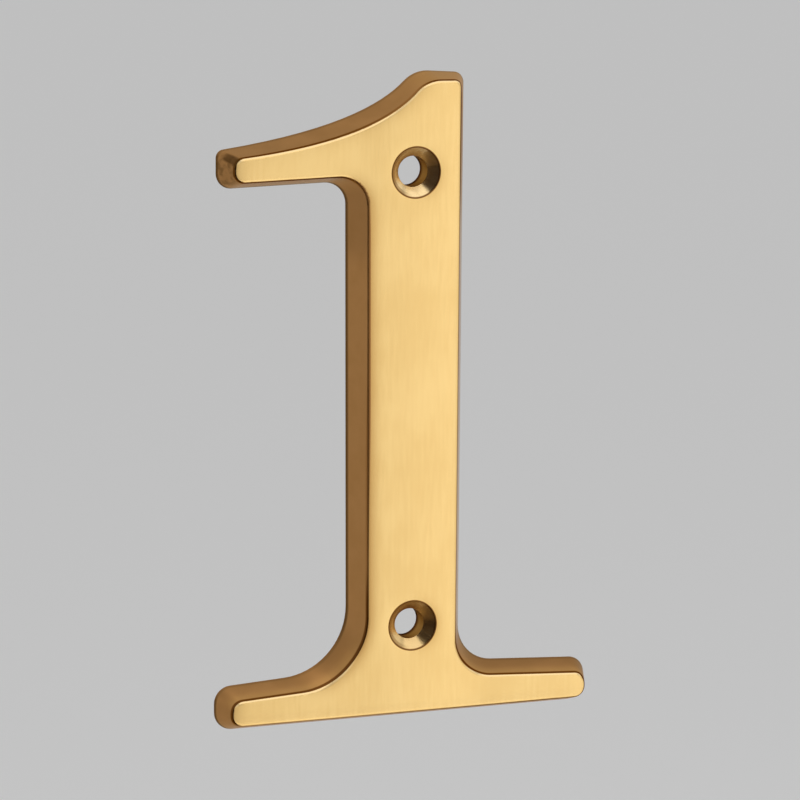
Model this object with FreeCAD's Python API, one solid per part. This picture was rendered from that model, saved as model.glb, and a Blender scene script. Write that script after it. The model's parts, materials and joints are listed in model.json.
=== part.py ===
import FreeCAD, Part
import math
import os

# Door number: a numeral one cast in solid brass and fixed by two countersunk screws.
# Sizes are in millimetres. The face looks along -Y and +Z is up. The back lies flat in the plane
# Y = 0. The origin is on the back, on the stem's centre line, midway between the two screw holes.

# Casting
thickness = 4.75
face_edge_radius = 0.55
back_edge_break = 0.2

# Screw holes, on the stem's centre line, set in from the top and bottom of the face
upper_hole_inset = 13.85
lower_hole_inset = 13.85
bore_diameter = 4.8
countersink_diameter = 7.9
countersink_angle = 90.0
countersink_rim_radius = 0.3

# Face outline, before its edge is rounded. The stem has its stated width at the foot, and its left
# side leans out by the taper on the way up to the flag.
face_height = 98.7
stem_width = 14.5
stem_taper = 0.5
foot_width = 58.85
foot_end_height = 3.75
foot_rise = 1.25
flag_reach = 29.05
flag_tip_height = 3.55
flag_tip_drop = 10.95
flag_underside_rise = 0.5
sweep_drop = 8.8
sweep_offset = 6.7
crest_offset = 1.8

# Corner radii of the face, and what each becomes at the back
top_corner_radius = 1.1
top_corner_back_radius = 1.7
crest_radius = 5.7
crest_back_radius = 5.2
right_bracket_radius = 6.5
right_bracket_back_radius = 5.9
left_bracket_radius = 11.9
left_bracket_back_radius = 10.75
flag_bracket_radius = 4.6
flag_bracket_back_radius = 3.4
foot_tip_upper_radius = 1.9
foot_tip_upper_back_radius = 2.75
foot_tip_lower_radius = 1.7
foot_tip_lower_back_radius = 2.9
flag_tip_lower_radius = 1.65
flag_tip_lower_back_radius = 2.4
flag_tip_upper_radius = 1.85
flag_tip_upper_back_radius = 1.3

# Flare: how far each wall runs outward on its way from the face to the back
stem_flare = 2.15
foot_end_flare = 1.65
foot_top_flare = 1.6
sole_flare = 1.45
flag_underside_flare = 1.35
flag_tip_flare = 1.7
flag_tip_top_flare = 1.0
sweep_side_flare = 0.6
sweep_top_flare = 1.85
crest_side_flare = 0.6
crest_top_flare = 1.4
top_corner_flare = 0.85

# A corner's rounding takes at most this share of either edge beside it
rounding_share = 0.48

# Heights and half widths that follow from the sizes above
hole_spacing = face_height - upper_hole_inset - lower_hole_inset
face_top = hole_spacing / 2 + upper_hole_inset
face_bottom = -hole_spacing / 2 - lower_hole_inset
half_stem = stem_width / 2
half_foot = foot_width / 2
stem_left_at_flag = -half_stem - stem_taper
foot_end_top = face_bottom + foot_end_height
foot_stem_top = foot_end_top + foot_rise
flag_tip_top = face_top - flag_tip_drop
flag_tip_bottom = flag_tip_top - flag_tip_height
flag_stem_bottom = flag_tip_bottom + flag_underside_rise
sweep_height = face_top - sweep_drop


class Corner:
    """A corner of the outline: its place and radius on the face, and its flare and radius at the back.

    The wall ends just short of the back plane, where a bevel breaks the edge."""

    def __init__(self, x, z, radius, flare_x, flare_z, back_radius):
        self.face = (x, z, radius)
        self.wall_end = (x + flare_x, z + flare_z, back_radius)
        bevel_x = math.copysign(back_edge_break, flare_x)
        bevel_z = math.copysign(back_edge_break, flare_z)
        self.back = (x + flare_x - bevel_x, z + flare_z - bevel_z, back_radius)


# The flag's upper edge is a parabola that bends towards one corner without reaching it
NO_RADIUS = 0.0

# Corners in order, clockwise as seen from the front, from the top right
corners = [
    Corner(half_stem, face_top, top_corner_radius,
           stem_flare, top_corner_flare, top_corner_back_radius),
    Corner(half_stem, foot_stem_top, right_bracket_radius,
           stem_flare, foot_top_flare, right_bracket_back_radius),
    Corner(half_foot, foot_end_top, foot_tip_upper_radius,
           foot_end_flare, foot_top_flare, foot_tip_upper_back_radius),
    Corner(half_foot, face_bottom, foot_tip_lower_radius,
           foot_end_flare, -sole_flare, foot_tip_lower_back_radius),
    Corner(-half_foot, face_bottom, foot_tip_lower_radius,
           -foot_end_flare, -sole_flare, foot_tip_lower_back_radius),
    Corner(-half_foot, foot_end_top, foot_tip_upper_radius,
           -foot_end_flare, foot_top_flare, foot_tip_upper_back_radius),
    Corner(-half_stem, foot_stem_top, left_bracket_radius,
           -stem_flare, foot_top_flare, left_bracket_back_radius),
    Corner(stem_left_at_flag, flag_stem_bottom, flag_bracket_radius,
           -stem_flare, -flag_underside_flare, flag_bracket_back_radius),
    Corner(-flag_reach, flag_tip_bottom, flag_tip_lower_radius,
           -flag_tip_flare, -flag_underside_flare, flag_tip_lower_back_radius),
    Corner(-flag_reach, flag_tip_top, flag_tip_upper_radius,
           -flag_tip_flare, flag_tip_top_flare, flag_tip_upper_back_radius),
    Corner(-sweep_offset, sweep_height, NO_RADIUS,
           -sweep_side_flare, sweep_top_flare, NO_RADIUS),
    Corner(crest_offset, face_top, crest_radius,
           -crest_side_flare, crest_top_flare, crest_back_radius),
]


def rounded_corner(before, point, after, radius):
    """The start, middle and end of the arc that rounds the corner at point."""
    to_before = (before - point).normalize()
    to_after = (after - point).normalize()
    half_angle = to_before.getAngle(to_after) / 2
    shorter_edge = min(before.distanceToPoint(point), after.distanceToPoint(point))
    reach = min(radius / math.tan(half_angle), rounding_share * shorter_edge)
    kept_radius = reach * math.tan(half_angle)
    inward = (to_before + to_after).normalize()
    middle = point + inward * (kept_radius / math.sin(half_angle) - kept_radius)
    return point + to_before * reach, middle, point + to_after * reach


def outline(places, y):
    """The closed outline at depth y: straight edges, an arc at each corner and the flag's parabola."""
    points = [FreeCAD.Vector(x, y, z) for x, z, radius in places]
    count = len(points)
    arcs = []
    for index, (x, z, radius) in enumerate(places):
        before = points[index - 1]
        after = points[(index + 1) % count]
        arcs.append(rounded_corner(before, points[index], after, radius) if radius else None)
    edges = []
    for index, arc in enumerate(arcs):
        following = arcs[(index + 1) % count]
        if arc is None:
            parabola = Part.BezierCurve()
            parabola.setPoles([arcs[index - 1][2], points[index], following[0]])
            edges.append(parabola.toShape())
            continue
        edges.append(Part.Arc(*arc).toShape())
        if following is not None:
            edges.append(Part.makeLine(arc[2], following[0]))
    return Part.Wire(edges)


def tapered_blank():
    """The numeral without holes, its walls running straight from the face out to the bevelled back."""
    back = outline([corner.back for corner in corners], 0)
    wall_end = outline([corner.wall_end for corner in corners], -back_edge_break)
    face = outline([corner.face for corner in corners], -thickness)
    return Part.makeLoft([back, wall_end, face], True, True)


def screw_hole(z):
    """The space of one screw: a bore right through and a countersink open to the face."""
    into_face = FreeCAD.Vector(0, 1, 0)
    centre = FreeCAD.Vector(0, -thickness, z)
    bore_radius = bore_diameter / 2
    rim_radius = countersink_diameter / 2
    cone_depth = (rim_radius - bore_radius) / math.tan(math.radians(countersink_angle / 2))
    bore = Part.makeCylinder(bore_radius, thickness, centre, into_face)
    cone = Part.makeCone(rim_radius, bore_radius, cone_depth, centre, into_face)
    return bore.fuse(cone)


def edges_at(solid, y, closed):
    """The edges at depth y: hole rims, which are closed circles, or else the outline's pieces."""
    tolerance = 1e-4
    return [
        edge
        for edge in solid.Edges
        if abs(edge.BoundBox.YMin - y) < tolerance
        and abs(edge.BoundBox.YMax - y) < tolerance
        and edge.isClosed() == closed
    ]


numeral = tapered_blank()
for hole_height in (hole_spacing / 2, -hole_spacing / 2):
    numeral = numeral.cut(screw_hole(hole_height))
numeral = numeral.makeFillet(face_edge_radius, edges_at(numeral, -thickness, closed=False))
numeral = numeral.makeFillet(countersink_rim_radius, edges_at(numeral, -thickness, closed=True))

os.makedirs("parts", exist_ok=True)
numeral.exportStep("parts/numeral.step")
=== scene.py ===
import json
import math

import bpy
from mathutils import Matrix, Vector


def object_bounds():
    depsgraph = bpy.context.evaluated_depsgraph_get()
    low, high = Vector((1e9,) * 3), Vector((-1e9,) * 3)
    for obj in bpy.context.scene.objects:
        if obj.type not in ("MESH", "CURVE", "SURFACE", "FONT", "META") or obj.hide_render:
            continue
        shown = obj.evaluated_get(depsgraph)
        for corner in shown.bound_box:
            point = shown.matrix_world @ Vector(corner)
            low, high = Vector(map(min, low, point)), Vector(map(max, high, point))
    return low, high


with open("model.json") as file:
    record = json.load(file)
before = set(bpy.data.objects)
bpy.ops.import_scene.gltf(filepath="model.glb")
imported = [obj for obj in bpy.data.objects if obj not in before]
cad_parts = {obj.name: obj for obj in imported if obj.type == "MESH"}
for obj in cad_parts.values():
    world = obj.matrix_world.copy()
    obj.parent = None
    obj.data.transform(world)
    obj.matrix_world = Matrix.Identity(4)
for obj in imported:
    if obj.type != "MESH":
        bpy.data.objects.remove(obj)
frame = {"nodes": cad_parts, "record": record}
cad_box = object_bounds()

# Lengths are in metres, and in millimetres where the brass is described
MM = 0.001


def link(obj):
    bpy.context.scene.collection.objects.link(obj)
    return obj


def direction(azimuth, elevation):
    """Unit vector out from the numeral. At 0, 0 it points straight away from the face."""
    turn, rise = math.radians(azimuth), math.radians(elevation)
    return Vector((math.sin(turn) * math.cos(rise), -math.cos(turn) * math.cos(rise), math.sin(rise)))


# Nodes
class Nodes:
    """Short ways to add shader nodes. A value is a number, a tuple or another node's output."""

    def __init__(self, tree):
        self.tree = tree

    def put(self, socket, value):
        if isinstance(value, bpy.types.NodeSocket):
            self.tree.links.new(value, socket)
        else:
            socket.default_value = value

    def add(self, kind, inputs=None, **settings):
        node = self.tree.nodes.new("ShaderNode" + kind)
        for name, value in settings.items():
            setattr(node, name, value)
        for name, value in (inputs or {}).items():
            self.put(node.inputs[name], value)
        return node

    def math(self, operation, a, b=0.0):
        return self.add("Math", {0: a, 1: b}, operation=operation).outputs[0]

    def times(self, first, *others):
        product = first
        for other in others:
            product = self.math("MULTIPLY", product, other)
        return product

    def largest(self, first, *others):
        result = first
        for other in others:
            result = self.math("MAXIMUM", result, other)
        return result

    def rest_of(self, share):
        return self.math("SUBTRACT", 1.0, share)

    def length(self, a, b):
        """Length of a vector with two parts."""
        squares = self.math("ADD", self.math("POWER", a, 2.0), self.math("POWER", b, 2.0))
        return self.math("SQRT", squares)

    def split(self, vector):
        return self.add("SeparateXYZ", {0: vector}).outputs

    def step(self, value, low, high, start=0.0, end=1.0):
        """Smooth change from start to end as value goes from low to high."""
        ranges = {"From Min": low, "From Max": high, "To Min": start, "To Max": end}
        return self.add("MapRange", {"Value": value, **ranges}, interpolation_type="SMOOTHSTEP").outputs[0]

    def mix(self, factor, a, b):
        """Mix of two colours."""
        return self.add("Mix", {0: factor, 6: a, 7: b}, data_type="RGBA").outputs[2]

    def blend(self, factor, a, b):
        """Mix of two numbers."""
        return self.add("Mix", {0: factor, 2: a, 3: b}, data_type="FLOAT").outputs[0]

    def bend(self, factor, a, b):
        """Mix of two vectors."""
        return self.add("Mix", {0: factor, 4: a, 5: b}, data_type="VECTOR").outputs[1]

    def noise(self, place, scale, detail, roughness=0.5):
        settings = {"Scale": scale, "Detail": detail, "Roughness": roughness}
        return self.add("TexNoise", {"Vector": place, **settings}).outputs[0]

    def stretch(self, place, factors):
        return self.add("VectorMath", {0: place, 1: factors}, operation="MULTIPLY").outputs[0]


def new_material(name):
    material = bpy.data.materials.new(name)
    material.use_nodes = True
    return material, Nodes(material.node_tree)


def main_shader(material):
    return material.node_tree.nodes["Principled BSDF"]


# Camera, placed as the photograph was taken
def place_camera():
    outward = direction(azimuth=-20.959, elevation=10.261)
    roll = math.radians(0.442)
    distance = 621.29 * MM
    target = Vector((-0.571, 0.0, -0.582)) * MM
    data = bpy.data.cameras.new("camera")
    data.sensor_width = 36.0
    data.lens = 180.0
    data.clip_start = 0.01
    data.clip_end = 100.0
    camera = link(bpy.data.objects.new("camera", data))
    facing = (-outward).to_track_quat("-Z", "Y").to_matrix().to_4x4()
    place = Matrix.Translation(target + outward * distance)
    camera.matrix_world = place @ facing @ Matrix.Rotation(roll, 4, "Z")
    bpy.context.scene.camera = camera


# Studio
def plain(name, colour):
    """A dull cloth or paper."""
    material, nodes = new_material(name)
    shader = main_shader(material)
    nodes.put(shader.inputs["Base Color"], colour)
    nodes.put(shader.inputs["Roughness"], 1.0)
    nodes.put(shader.inputs["Specular IOR Level"], 0.0)
    return material


def glow(name, strength):
    """A screen that gives light. The strength is a number, or a function that works it out in nodes."""
    material, nodes = new_material(name)
    light = nodes.add("Emission", {"Strength": strength(nodes) if callable(strength) else strength})
    nodes.put(material.node_tree.nodes["Material Output"].inputs["Surface"], light.outputs[0])
    return material


def front_strength(nodes):
    """Brightest to the right of the camera, fading to the left and a little at the far right."""
    place = nodes.split(nodes.add("TexCoord").outputs["Object"])
    angle = nodes.math("ARCTAN2", place["X"], nodes.times(place["Y"], -1.0))
    azimuth = nodes.times(angle, math.degrees(1.0))
    rise = nodes.step(azimuth, -30.0, 34.0, 0.36, 1.1)
    fall = nodes.step(azimuth, 30.0, 50.0, 1.0, 0.8)
    return nodes.times(rise, fall)


def facing_object(azimuth, elevation, distance):
    outward = direction(azimuth, elevation)
    turn = outward.to_track_quat("Z", "Y").to_matrix().to_4x4()
    return Matrix.Translation(outward * distance) @ turn


def stage_piece(name, place, points, faces, material):
    mesh = bpy.data.meshes.new(name)
    mesh.from_pydata(points, [], faces)
    mesh.materials.append(material)
    obj = link(bpy.data.objects.new(name, mesh))
    obj.matrix_world = place
    return obj


def sheet(name, place, width, height, material):
    w, h = width / 2, height / 2
    corners = [(-w, -h, 0), (w, -h, 0), (w, h, 0), (-w, h, 0)]
    return stage_piece(name, place, corners, [(0, 1, 2, 3)], material)


def curved_screen(name, radius, first_azimuth, last_azimuth, bottom, top, material):
    steps = 48
    points = []
    for i in range(steps + 1):
        azimuth = first_azimuth + (last_azimuth - first_azimuth) * i / steps
        outward = direction(azimuth, 0) * radius
        points += [(outward.x, outward.y, bottom), (outward.x, outward.y, top)]
    faces = [(2 * i, 2 * i + 2, 2 * i + 3, 2 * i + 1) for i in range(steps)]
    return stage_piece(name, Matrix(), points, faces, material)


def studio():
    floor_level = -0.40
    floor_size = 60
    screen_bottom = floor_level + 0.005
    low_screen_level = floor_level + 0.01
    cloth_level = floor_level + 0.03
    surround = (0.58, 0.58, 0.58, 1)
    white = plain("floor", (0.9, 0.9, 0.9, 1))
    black = plain("black_cloth", (0.04, 0.024, 0.016, 1))
    brown = plain("brown_cloth", (0.15, 0.095, 0.05, 1))
    front = glow("front_light", front_strength)
    overhead = glow("top_light", 1.15)
    right = glow("right_light", 1.0)
    low = glow("low_light", 1.1)

    sheet("floor", Matrix.Translation((0, 0, floor_level)), floor_size, floor_size, white)
    above_left = facing_object(azimuth=-58, elevation=45, distance=0.95)
    above_front = facing_object(azimuth=13, elevation=44, distance=0.95)
    above_right = facing_object(azimuth=93, elevation=38, distance=0.95)
    level_left = facing_object(azimuth=-71, elevation=0, distance=0.8)
    overhead_place = Matrix.Translation((0.3, -0.15, 0.88))
    around = [
        curved_screen("front_screen", radius=0.9, first_azimuth=-45, last_azimuth=80,
                      bottom=screen_bottom, top=0.45, material=front),
        sheet("slope_screen", above_front, width=1.4, height=0.5, material=overhead),
        sheet("top_screen", overhead_place, width=1.3, height=0.8, material=overhead),
        sheet("right_screen", above_right, width=0.5, height=0.6, material=right),
        sheet("left_flag", level_left, width=0.62, height=0.9, material=black),
        sheet("upper_flag", above_left, width=0.65, height=0.6, material=black),
    ]
    # These show only in reflections, so they neither light nor shade the floor
    low_front = Matrix.Translation((0.25, -0.42, low_screen_level))
    low_left = Matrix.Translation((-0.545, -0.15, cloth_level))
    mirrored = [
        sheet("low_screen", low_front, width=0.8, height=0.6, material=low),
        sheet("left_cloth", low_left, width=1.01, height=0.5, material=brown),
    ]
    for obj in around + mirrored:
        obj.visible_camera = False
    for obj in mirrored:
        obj.visible_diffuse = False
        obj.visible_shadow = False

    world = bpy.data.worlds.new("studio")
    world.use_nodes = True
    world.node_tree.nodes["Background"].inputs["Color"].default_value = surround
    bpy.context.scene.world = world


# Brass

# Sizes from the frame, in millimetres
upper_hole = next(mount for mount in frame["record"]["mounts"] if mount["name"] == "upper_screw_hole")
HOLE_HEIGHT = upper_hole["pos_m"][2] / MM
BORE_RADIUS = upper_hole["dims"]["r_mm"]
THICKNESS = -cad_box[0].y / MM

# Colours. A pair is the two ends of a range.
FACE = (0.865, 0.583, 0.226, 1), (0.935, 0.652, 0.268, 1)
# Painted shade near the face's left edges
FACE_LEFT_SHADE = (0.67, 0.385, 0.12, 1)
# Painted highlight along the face's upper rounded edges
EDGE_HIGHLIGHT = (0.92, 0.69, 0.37, 1), (1.0, 0.75, 0.38, 1)
WALL = (0.53, 0.265, 0.088, 1), (0.59, 0.3, 0.104, 1)
WALL_SHADE = (0.2, 0.095, 0.03, 1)
# Painted light on upward walls
WALL_PAINTED_LIGHT = (0.7, 0.39, 0.12, 1)
# Painted reflection: the dark line beside the face
PAINTED_LINE = (0.2, 0.075, 0.016, 1), (0.45, 0.21, 0.065, 1)
# Painted shade along the back edge
BACK_EDGE_SHADE = (0.16, 0.08, 0.025, 1)
CAST_BACK = (0.47, 0.27, 0.1, 1), (0.58, 0.35, 0.14, 1)
# Painted reflections as blotches, and painted shade, at the flag's end
TIP_BLOTCH_SHADE = (0.15, 0.075, 0.02, 1)
TIP_CORNER_SHADE = (0.12, 0.055, 0.015, 1)
# The second is painted light, for the brighter upper countersink
CONE_AND_LIT_CONE = (0.82, 0.57, 0.26, 1), (0.93, 0.69, 0.36, 1)
# The next colours hold painted shade in the holes: top and left of each countersink, deep in each bore, and
# the rim
CONE_TOP_SHADE = (0.45, 0.26, 0.09, 1)
CONE_LEFT_SHADE = (0.32, 0.17, 0.05, 1)
BORE_AND_DEEP_SHADE = (0.56, 0.32, 0.12, 1), (0.2, 0.1, 0.04, 1)
RIM_SHADE = (0.17, 0.06, 0.006, 1)

# Tints of reflections at a low angle. All but the first are painted shade that dulls reflections
BRASS_TINT = (0.9, 0.82, 0.68, 1)
SHADE_TINT = (0.45, 0.31, 0.15, 1)
RIM_SHADE_TINT = (0.36, 0.18, 0.04, 1)
BORE_SHADE_TINT = (0.0, 0.0, 0.0, 1)

# Where most values of a noise lie
NOISE_RANGE = 0.3, 0.7

# Start and end of a step that fades out instead of in
FADE_OUT = 1.0, 0.0


class Spot:
    """A spot on the numeral: its place in millimetres, the way it looks and the regions it is in.

    A region is a share from 0 to 1. Its step says over which range it fades in or out."""

    def __init__(self, nodes):
        self.find_place(nodes)
        self.find_look(nodes)
        self.find_textures(nodes)
        self.find_regions(nodes)
        self.find_wall(nodes)
        self.find_painted_line(nodes)

    def find_place(self, nodes):
        metres = nodes.add("TexCoord").outputs["Object"]
        self.place = nodes.stretch(metres, (1 / MM, 1 / MM, 1 / MM))
        self.x, y, self.z = nodes.split(self.place)
        self.depth = nodes.math("ADD", y, THICKNESS)
        nearest_hole = nodes.times(nodes.math("SIGN", self.z), HOLE_HEIGHT)
        self.above_hole = nodes.math("SUBTRACT", self.z, nearest_hole)
        self.radius = nodes.length(self.x, self.above_hole)

    def find_look(self, nodes):
        """Side is -1 at a left edge and 1 at a right edge. Up is 1 at an upper edge."""
        least_sideways = 0.1
        self.normal = nodes.add("NewGeometry").outputs["Normal"]
        self.look_x, self.look_y, self.look_z = nodes.split(self.normal)
        sideways = nodes.largest(nodes.length(self.look_x, self.look_z), least_sideways)
        side = nodes.math("DIVIDE", self.look_x, sideways)
        self.up = nodes.math("DIVIDE", self.look_z, sideways)
        self.leftward = nodes.step(side, -0.2, -0.75)
        self.rightward = nodes.step(side, 0.4, 0.85)
        self.upward = nodes.step(self.up, 0.2, 0.7)

        # The normal as if edges were rounded. From its lean: 1 at a left edge, 0 from about 4 mm on
        rounding = 4.0 * MM
        lean_gain = -2.0
        self.rounded = nodes.add("Bevel", {"Radius": rounding}, samples=8).outputs[0]
        lean = nodes.times(nodes.split(self.rounded)["X"], lean_gain)
        self.near_left_edge = nodes.add("Clamp", {"Value": lean}).outputs[0]

    def find_textures(self, nodes):
        along_stem = nodes.stretch(self.place, (1.0, 1.0, 0.09))
        self.marks = nodes.noise(along_stem, scale=1.9, detail=3.0, roughness=0.6)
        self.patches = nodes.noise(self.place, scale=0.09, detail=2.0)
        self.mottle = nodes.noise(self.place, scale=0.22, detail=3.0)
        self.cast = nodes.noise(self.place, scale=1.4, detail=4.0, roughness=0.6)
        self.blotches = nodes.noise(self.place, scale=0.75, detail=2.0)
        self.grain = nodes.noise(self.place, scale=0.6, detail=3.0)
        self.waves = nodes.noise(self.place, scale=0.12, detail=1.0)

    def find_regions(self, nodes):
        self.foot = nodes.step(self.z, -20.0, -30.0)
        self.flag = nodes.step(self.z, 20.0, 25.0)
        self.back = nodes.step(self.look_y, 0.75, 0.9)
        self.stem_left = nodes.times(self.leftward, nodes.step(self.x, -13.0, -11.0))

        # The stem's right wall is bright along its length, and has painted shade beside the face in the head
        below_top = nodes.step(self.z, 48.5, 46.5)
        below_head = nodes.step(self.z, 40.0, 24.0)
        above_foot = nodes.step(self.z, -40.0, -34.0)
        in_head = nodes.step(self.z, 24.0, 40.0, 0.1, 1.0)
        near_face = nodes.step(self.depth, 0.9, 2.1, *FADE_OUT)
        stem_right = nodes.times(self.rightward, nodes.step(self.x, 11.0, 9.5), below_top)
        self.bright_right = nodes.times(stem_right, below_head, above_foot)
        self.right_painted_shade = nodes.times(stem_right, in_head, near_face)

        # Each screw hole is a bore with a cone in front, and the cone ends in a rim
        self.bore = nodes.step(self.radius, BORE_RADIUS + 0.005, BORE_RADIUS + 0.02, *FADE_OUT)
        inside_rim = nodes.step(self.radius, 4.0, 4.1, *FADE_OUT)
        self.cone = nodes.times(inside_rim, nodes.step(self.depth, 2.0, 2.3, *FADE_OUT))
        self.rim = nodes.step(self.radius, 3.72, 3.86)
        self.hole = nodes.largest(self.cone, self.bore)

    def find_wall(self, nodes):
        """The wall starts at the face or close behind it, at a depth that differs from edge to edge."""
        usual, on_stem_left, on_foot_tip, on_upper_edge = 0.05, -0.09, 0.02, 0.19
        fade = 0.08
        foot_tip = nodes.times(self.rightward, self.foot)
        upper_edge = nodes.times(self.upward, nodes.rest_of(foot_tip))
        above_foot = nodes.step(self.z, -28.0, 8.0)
        below_flag = nodes.step(self.z, 24.0, 33.0, 1.0, 0.4)
        stem_left = nodes.times(self.stem_left, above_foot, below_flag)
        start = nodes.blend(stem_left, usual, on_stem_left)
        start = nodes.blend(foot_tip, start, on_foot_tip)
        start = nodes.blend(upper_edge, start, on_upper_edge)
        self.wall = nodes.step(nodes.math("SUBTRACT", self.depth, start), 0.0, fade)
        self.face = nodes.times(nodes.rest_of(self.wall), nodes.rest_of(self.hole))

    def find_painted_line(self, nodes):
        """A dark line painted where the wall meets the face, as a painted reflection of dark surroundings in
        the rounded edge. It ends at a depth that differs likewise.
        """
        usual, on_left_edge, on_upper_edge, under_flag = 0.44, 0.55, 0.62, 0.46
        fade = 0.22
        bright_share = 0.1
        on_stem_left = nodes.step(self.z, -10.0, 14.0, 0.48, 0.03)
        flag_underside = nodes.times(nodes.step(self.up, -0.3, -0.7), self.flag)
        end = nodes.blend(self.leftward, usual, on_left_edge)
        end = nodes.blend(self.stem_left, end, on_stem_left)
        end = nodes.blend(self.upward, end, on_upper_edge)
        end = nodes.blend(flag_underside, end, under_flag)
        before_end = nodes.step(nodes.math("SUBTRACT", self.depth, end), 0.0, fade, *FADE_OUT)
        sole = nodes.times(nodes.step(self.up, -0.5, -0.9), self.foot)
        sole_share = nodes.step(self.x, -12.0, 16.0, 0.3, 0.7)
        line = nodes.times(self.wall, before_end, nodes.blend(self.bright_right, 1.0, bright_share))
        self.line = nodes.times(line, nodes.blend(sole, 1.0, sole_share))


def face_colour(nodes, spot):
    """Polished, with short soft marks along the stem, painted shade near the left edges and a painted
    highlight along the upper edges.
    """
    marks_share, patches_share = 0.45, 0.55
    painted_highlight_share = 0.8
    tone = nodes.math("ADD", nodes.times(spot.marks, marks_share), nodes.times(spot.patches, patches_share))
    colour = nodes.mix(nodes.step(tone, 0.34, 0.66), *FACE)
    # Painted shade darkens the face near its left edges, most on the stem
    on_stem = nodes.step(spot.x, -22.0, -12.0, 0.3, 1.0)
    below_flag = nodes.step(spot.z, 31.0, 38.0, 1.0, 0.3)
    left_edge = nodes.times(spot.near_left_edge, on_stem, below_flag)
    colour = nodes.mix(left_edge, colour, FACE_LEFT_SHADE)
    # Painted highlight: a paler colour on the upper rounded edges, brighter where they lean left
    painted_highlight = nodes.times(nodes.step(spot.up, 0.5, 0.8), nodes.step(spot.depth, 0.02, 0.1), painted_highlight_share)
    return nodes.mix(painted_highlight, colour, nodes.mix(spot.leftward, *EDGE_HIGHLIGHT))


def wall_shade(nodes, spot):
    """How dark the wall is: on top of the foot, along the flag's sweep, at the foot's end and up right."""
    sweep_share, foot_end_share, right_share = 0.26, 0.14, 0.5
    foot_top = nodes.math(
        "ADD", nodes.step(spot.depth, 0.6, 4.2, 0.0, 0.3), nodes.step(spot.x, 7.0, 12.0, 0.0, 0.2))
    foot_top = nodes.times(foot_top, spot.upward, spot.foot)
    sweep = nodes.times(nodes.step(spot.x, 2.0, -6.0), spot.flag, sweep_share)
    foot_end = nodes.times(spot.leftward, nodes.step(spot.x, -26.0, -29.0), spot.foot, foot_end_share)
    return nodes.largest(foot_top, sweep, foot_end, nodes.times(spot.right_painted_shade, right_share))


def wall_painted_light(nodes, spot):
    """How pale the wall is made by painted light: on top of the foot beside the face, and on the crest."""
    foot_top = nodes.times(spot.upward, spot.foot, nodes.step(spot.depth, 0.7, 2.6, 0.42, 0.0))
    crest = nodes.times(nodes.step(spot.x, -1.0, 3.0, 0.0, 0.3), nodes.step(spot.z, 44.0, 47.0), spot.upward)
    return nodes.largest(foot_top, crest)


def with_painted_tip_shade(nodes, spot, colour):
    """The end of the flag gets dark blotches as painted reflections, and painted shade darkest along its
    upper corner.
    """
    blotch_shade_share, corner_share = 0.55, 0.8
    tip = nodes.times(nodes.step(spot.x, -27.4, -28.6), spot.flag)
    blotch_shade = nodes.times(tip, spot.leftward, nodes.step(spot.blotches, 0.4, 0.62), blotch_shade_share)
    colour = nodes.mix(blotch_shade, colour, TIP_BLOTCH_SHADE)
    corner = nodes.times(nodes.step(spot.look_z, 0.15, 0.4), nodes.step(spot.look_x, -0.25, -0.5))
    near_face = nodes.step(spot.depth, 2.4, 3.8, *FADE_OUT)
    return nodes.mix(nodes.times(tip, corner, near_face, corner_share), colour, TIP_CORNER_SHADE)


def wall_colour(nodes, spot):
    """Satin, with a dark line painted beside the face as a painted reflection, and painted shade at the back
    edge. The back is as it was cast.
    """
    back_edge_shade_share = nodes.blend(spot.upward, 0.9, 0.35)
    colour = nodes.mix(nodes.step(spot.mottle, *NOISE_RANGE), *WALL)
    colour = nodes.mix(wall_shade(nodes, spot), colour, WALL_SHADE)
    colour = nodes.mix(wall_painted_light(nodes, spot), colour, WALL_PAINTED_LIGHT)
    # Painted reflection: the dark line beside the face, softer low on the stem's left
    soft = nodes.times(spot.stem_left, nodes.step(spot.z, -32.0, -25.0))
    colour = nodes.mix(spot.line, colour, nodes.mix(soft, *PAINTED_LINE))
    # Painted shade along the back edge, weaker on upper edges
    back_edge_shade = nodes.times(nodes.step(spot.depth, 3.85, 4.25), back_edge_shade_share)
    colour = nodes.mix(back_edge_shade, colour, BACK_EDGE_SHADE)
    cast_colour = nodes.mix(nodes.step(spot.cast, *NOISE_RANGE), *CAST_BACK)
    return with_painted_tip_shade(nodes, spot, nodes.mix(spot.back, colour, cast_colour))


def hole_colour(nodes, spot):
    """Turned countersinks and drilled bores. Painted light makes the upper countersink brighter; painted
    shade darkens the top and left of each countersink, the deep end of each bore and the rim.
    """
    rim_shade_share = 0.95
    # Painted light: the upper countersink brighter, in grains
    grain_and_painted_light = nodes.times(nodes.step(spot.grain, 0.3, 0.5), nodes.step(spot.z, -10.0, 10.0))
    colour = nodes.mix(grain_and_painted_light, *CONE_AND_LIT_CONE)
    # Painted shade over the top of each countersink
    colour = nodes.mix(nodes.step(spot.above_hole, 1.0, 2.6, 0.0, 0.3), colour, CONE_TOP_SHADE)
    # Painted shade in a band on the left of each countersink
    left_band_shade = nodes.times(nodes.step(spot.radius, 3.2, 3.5), nodes.step(spot.x, 0.0, -2.5, 0.0, 0.6))
    colour = nodes.mix(left_band_shade, colour, CONE_LEFT_SHADE)
    # Painted shade darkens each bore towards its back
    colour = nodes.mix(spot.bore, colour, nodes.mix(nodes.step(spot.depth, 3.3, 4.4), *BORE_AND_DEEP_SHADE))
    # Painted shade on each rim
    return nodes.mix(nodes.times(spot.rim, rim_shade_share), colour, RIM_SHADE)


def low_angle_tint(nodes, spot):
    # Painted shade dulls reflections on the painted line, on the upper right wall, on the rims and in the
    # bores
    tint = nodes.mix(nodes.largest(spot.line, spot.right_painted_shade), BRASS_TINT, SHADE_TINT)
    tint = nodes.mix(nodes.times(spot.cone, spot.rim), tint, RIM_SHADE_TINT)
    return nodes.mix(spot.bore, tint, BORE_SHADE_TINT)


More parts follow.
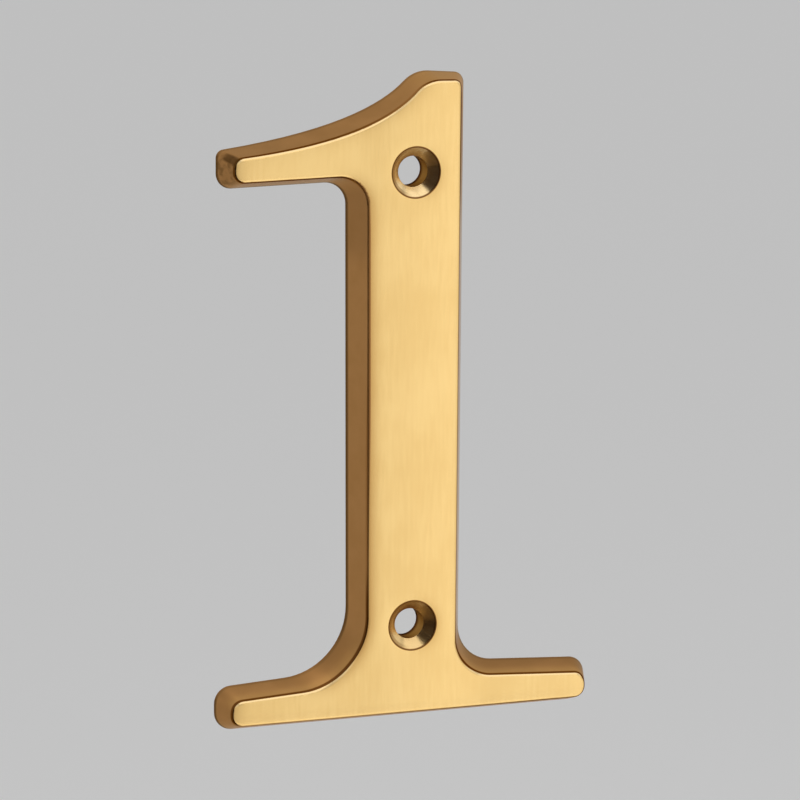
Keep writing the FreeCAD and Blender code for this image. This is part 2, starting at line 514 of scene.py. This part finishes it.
def roughness(nodes, spot):
    polished_right, turned, drilled = 0.16, 0.22, 0.4
    face = nodes.step(spot.marks, *NOISE_RANGE, 0.14, 0.2)
    wall = nodes.step(spot.mottle, *NOISE_RANGE, 0.3, 0.36)
    back = nodes.step(spot.cast, *NOISE_RANGE, 0.48, 0.38)
    rough = nodes.blend(spot.wall, face, nodes.blend(spot.bright_right, wall, polished_right))
    rough = nodes.blend(spot.back, rough, back)
    return nodes.blend(spot.hole, rough, nodes.blend(spot.bore, turned, drilled))


def crown(nodes, spot):
    """Lean of the polished face to the right: it is slightly domed across the stem."""
    head_lean = 0.018
    across = nodes.step(spot.x, -7.5, 7.3, -0.035, 0.035)
    past_stem = nodes.step(spot.x, 7.3, 14.0, 1.0, -0.5)
    head = nodes.times(nodes.step(spot.z, 22.0, 38.0), nodes.step(spot.x, -12.0, -6.0))
    lean = nodes.math("SUBTRACT", nodes.times(across, past_stem), nodes.times(head, head_lean))
    return nodes.add("CombineXYZ", {0: nodes.times(lean, spot.face)}).outputs[0]


def polished_normal(nodes, spot):
    """Polishing has drawn the face down towards its edges and made its left edges look flatter.

    The countersinks look flatter on their left too, most of all at the lower left."""
    straight_out = (0.0, -1.0, 0.0)
    drawn_share = 0.2
    left_share = nodes.blend(spot.upward, 0.85, 1.0)
    left_edge = nodes.times(spot.leftward, nodes.rest_of(spot.wall), left_share)
    cone_left = nodes.times(nodes.math("SUBTRACT", spot.cone, spot.bore), nodes.step(spot.x, 1.0, -2.6))
    cone_left = nodes.times(cone_left, nodes.step(spot.above_hole, -0.5, -2.2, 0.18, 0.33))
    normal = nodes.bend(nodes.blend(spot.hole, left_edge, cone_left), spot.normal, straight_out)
    normal = nodes.bend(nodes.times(spot.face, drawn_share), normal, spot.rounded)
    leaning = nodes.add("VectorMath", {0: normal, 1: crown(nodes, spot)}, operation="ADD").outputs[0]
    return nodes.add("VectorMath", {0: leaning}, operation="NORMALIZE").outputs[0]


def uneven_normal(nodes, spot):
    """Soft waves all over, and the fine rings left by turning in the holes."""
    wave_height, ring_height, ring_pitch = 0.02 * MM, 0.002 * MM, 0.16
    rings = nodes.times(nodes.math("SINE", nodes.times(spot.radius, 2 * math.pi / ring_pitch)), spot.hole)
    normal = polished_normal(nodes, spot)
    for height, distance, strength in ((spot.waves, wave_height, 0.6), (rings, ring_height, 1.0)):
        relief = {"Height": height, "Distance": distance, "Strength": strength}
        normal = nodes.add("Bump", {**relief, "Normal": normal}).outputs[0]
    return normal


def brass():
    material, nodes = new_material("brass")
    shader = main_shader(material)
    spot = Spot(nodes)
    colour = nodes.mix(spot.wall, face_colour(nodes, spot), wall_colour(nodes, spot))
    nodes.put(shader.inputs["Base Color"], nodes.mix(spot.hole, colour, hole_colour(nodes, spot)))
    nodes.put(shader.inputs["Metallic"], 1.0)
    nodes.put(shader.inputs["Specular Tint"], low_angle_tint(nodes, spot))
    nodes.put(shader.inputs["Roughness"], roughness(nodes, spot))
    nodes.put(shader.inputs["Normal"], uneven_normal(nodes, spot))
    return material


place_camera()
studio()
numeral = frame["nodes"]["numeral"]
numeral.data.materials.clear()
numeral.data.materials.append(brass())

bpy.context.scene.view_settings.view_transform = "Standard"
